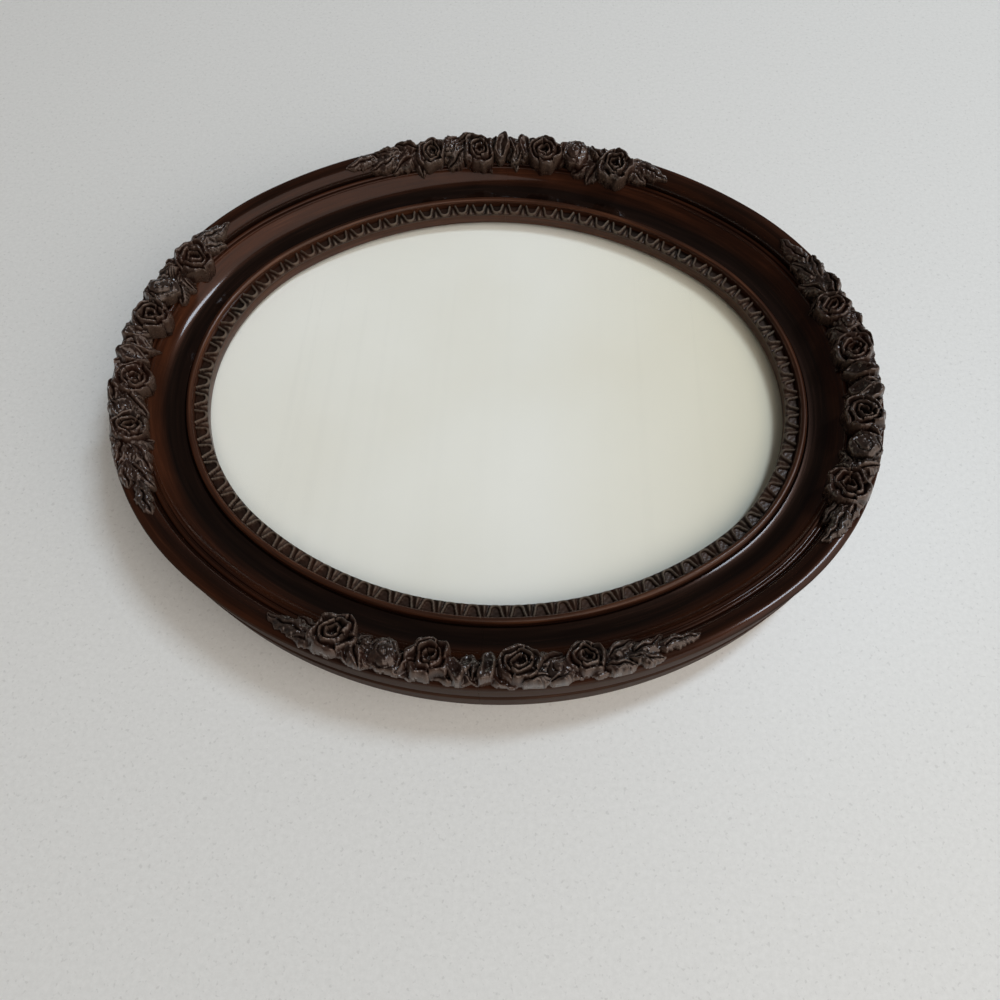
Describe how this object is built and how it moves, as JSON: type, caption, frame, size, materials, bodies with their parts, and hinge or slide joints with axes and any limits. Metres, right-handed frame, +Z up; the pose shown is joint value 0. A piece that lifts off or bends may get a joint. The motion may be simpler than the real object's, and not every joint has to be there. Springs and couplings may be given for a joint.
{
  "type": "oval picture frame",
  "caption": "Oval picture frame with a deep dark moulding, a lamb's tongue run at the sight edge, rose garlands, glass over an ivory card, and turn buttons and hanging rings behind.",
  "frame": {"origin": "centre of the oval on the foot's lower face, the surface it lies on", "axes": "+Z up out of the picture, towards the viewer; +X along the long axis to the right of the picture; +Y to the top of the picture, where the hangers are"},
  "size_m": [0.3172, 0.2664, 0.0378],
  "materials": {
    "moulding_wood": "very dark brown stain under gloss varnish, reddish in the cove",
    "slip_wood": "dark brown stain under gloss varnish",
    "tongue_compo": "cast composition, dull grey-brown with rubbed high spots",
    "garland_compo": "cast composition, dark grey-brown with rubbed high spots",
    "key_wood": "plain planed wood",
    "glass": "clear picture glass, ground edge",
    "card": "plain ivory card, slightly aged",
    "hardboard": "brown hardboard, smooth face out",
    "button_steel": "stamped zinc-plated strip",
    "hanger_steel": "nickel-plated strip and wire",
    "screw_steel": "zinc-plated"
  },
  "bodies": {
    "frame": {"moulding_lengths": "moulding_wood", "joint_keys": "key_wood", "slip_lengths": "slip_wood", "tongue_runs": "tongue_compo", "garland_right": "garland_compo", "garland_top": "garland_compo", "garland_left": "garland_compo", "garland_bottom": "garland_compo", "glass_pane": "glass", "ivory_card": "card", "backing_board": "hardboard", "button_screws": "screw_steel", "hanger_plate_left": "hanger_steel", "hanger_plate_right": "hanger_steel", "hanger_screws": "screw_steel"},
    "turn_button_1": {"turn_button_1": "button_steel"},
    "turn_button_2": {"turn_button_2": "button_steel"},
    "turn_button_3": {"turn_button_3": "button_steel"},
    "turn_button_4": {"turn_button_4": "button_steel"},
    "hanger_ring_left": {"hanger_ring_left": "hanger_steel"},
    "hanger_ring_right": {"hanger_ring_right": "hanger_steel"}
  },
  "joints": [
    {"name": "turn_button_1_turn", "type": "hinge", "parent": "frame", "child": "turn_button_1", "pos_m": [0.09907, 0.07551, 0.0033], "axis": [0, 0, 1], "range_deg": [-90, 90]},
    {"name": "turn_button_2_turn", "type": "hinge", "parent": "frame", "child": "turn_button_2", "pos_m": [-0.09907, 0.07551, 0.0033], "axis": [0, 0, 1], "range_deg": [-90, 90]},
    {"name": "turn_button_3_turn", "type": "hinge", "parent": "frame", "child": "turn_button_3", "pos_m": [-0.09907, -0.07551, 0.0033], "axis": [0, 0, 1], "range_deg": [-90, 90]},
    {"name": "turn_button_4_turn", "type": "hinge", "parent": "frame", "child": "turn_button_4", "pos_m": [0.09907, -0.07551, 0.0033], "axis": [0, 0, 1], "range_deg": [-90, 90]},
    {"name": "hanger_ring_left_swing", "type": "hinge", "parent": "frame", "child": "hanger_ring_left", "pos_m": [-0.11071, 0.05601, 0.00215], "axis": [0.6157, 0.788, 0], "range_deg": [0, 175]},
    {"name": "hanger_ring_right_swing", "type": "hinge", "parent": "frame", "child": "hanger_ring_right", "pos_m": [0.11071, 0.05601, 0.00215], "axis": [0.6157, -0.788, 0], "range_deg": [0, 175]}
  ]
}
